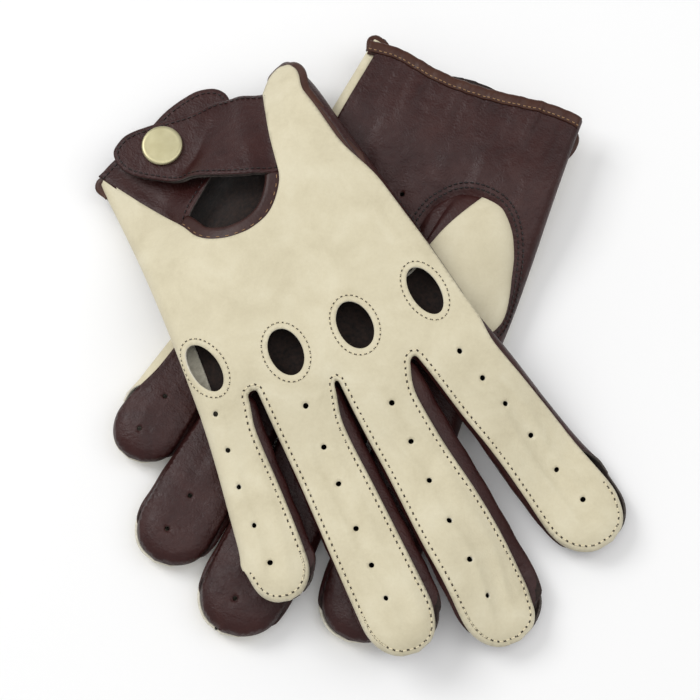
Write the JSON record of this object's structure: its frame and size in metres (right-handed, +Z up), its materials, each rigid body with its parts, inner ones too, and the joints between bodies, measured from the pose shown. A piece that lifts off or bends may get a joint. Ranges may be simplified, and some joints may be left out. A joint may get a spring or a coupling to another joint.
{
  "type": "leather driving gloves",
  "caption": "Unlined two-tone leather driving gloves, one lying palm up and the other back up across it, with knuckle holes, vents and a snap wrist strap.",
  "frame": {"origin": "middle of the footprint on the table, z = 0 at the lowest point", "axes": "+Z up from the table, -Y toward the fingertips, +X to the right when looking along +Y"},
  "size_m": [0.194, 0.237, 0.0369],
  "materials": {
    "cream_hide": "smooth undyed-looking cream glove leather, matt to satin",
    "brown_hide": "dark brown glove leather, satin with soft mottled shine",
    "binding_hide": "thin brown leather strip, satin",
    "aged_brass": "pale antique brass, satin"
  },
  "bodies": {
    "left_glove": {"left_back_panel": "cream_hide", "left_palm_panel": "brown_hide", "left_fork_index_middle": "brown_hide", "left_fork_middle_ring": "brown_hide", "left_fork_ring_little": "brown_hide", "left_thumb_back": "cream_hide", "left_thumb_front": "brown_hide", "left_wrist_binding": "binding_hide", "left_keyhole_binding": "binding_hide", "left_stud_tab": "brown_hide", "left_snap_post": "aged_brass", "left_snap_stud": "aged_brass"},
    "left_strap_flap": {"left_strap": "brown_hide", "left_strap_lining": "binding_hide", "left_snap_socket": "aged_brass", "left_snap_cap": "aged_brass"},
    "right_glove": {"right_back_panel": "cream_hide", "right_palm_panel": "brown_hide", "right_fork_index_middle": "brown_hide", "right_fork_middle_ring": "brown_hide", "right_fork_ring_little": "brown_hide", "right_thumb_back": "cream_hide", "right_thumb_front": "brown_hide", "right_wrist_binding": "binding_hide", "right_keyhole_binding": "binding_hide", "right_stud_tab": "brown_hide", "right_snap_post": "aged_brass", "right_snap_stud": "aged_brass"},
    "right_strap_flap": {"right_strap": "brown_hide", "right_strap_lining": "binding_hide", "right_snap_socket": "aged_brass", "right_snap_cap": "aged_brass"}
  },
  "joints": [
    {"name": "right_glove_lift", "type": "slide", "parent": "left_glove", "child": "right_glove", "axis": [0, 0, 1], "range_m": [0, 0.06]},
    {"name": "right_strap_open", "type": "hinge", "parent": "right_glove", "child": "right_strap_flap", "pos_m": [-0.03411, 0.08114, 0.02825], "axis": [-0.2191, 0.9097, -0.3529], "range_deg": [0, 125]},
    {"name": "left_strap_open", "type": "hinge", "parent": "left_glove", "child": "left_strap_flap", "pos_m": [0.05964, 0.07523, 0.00852], "axis": [-0.7226, -0.6905, -0.0331], "range_deg": [0, 125]}
  ]
}
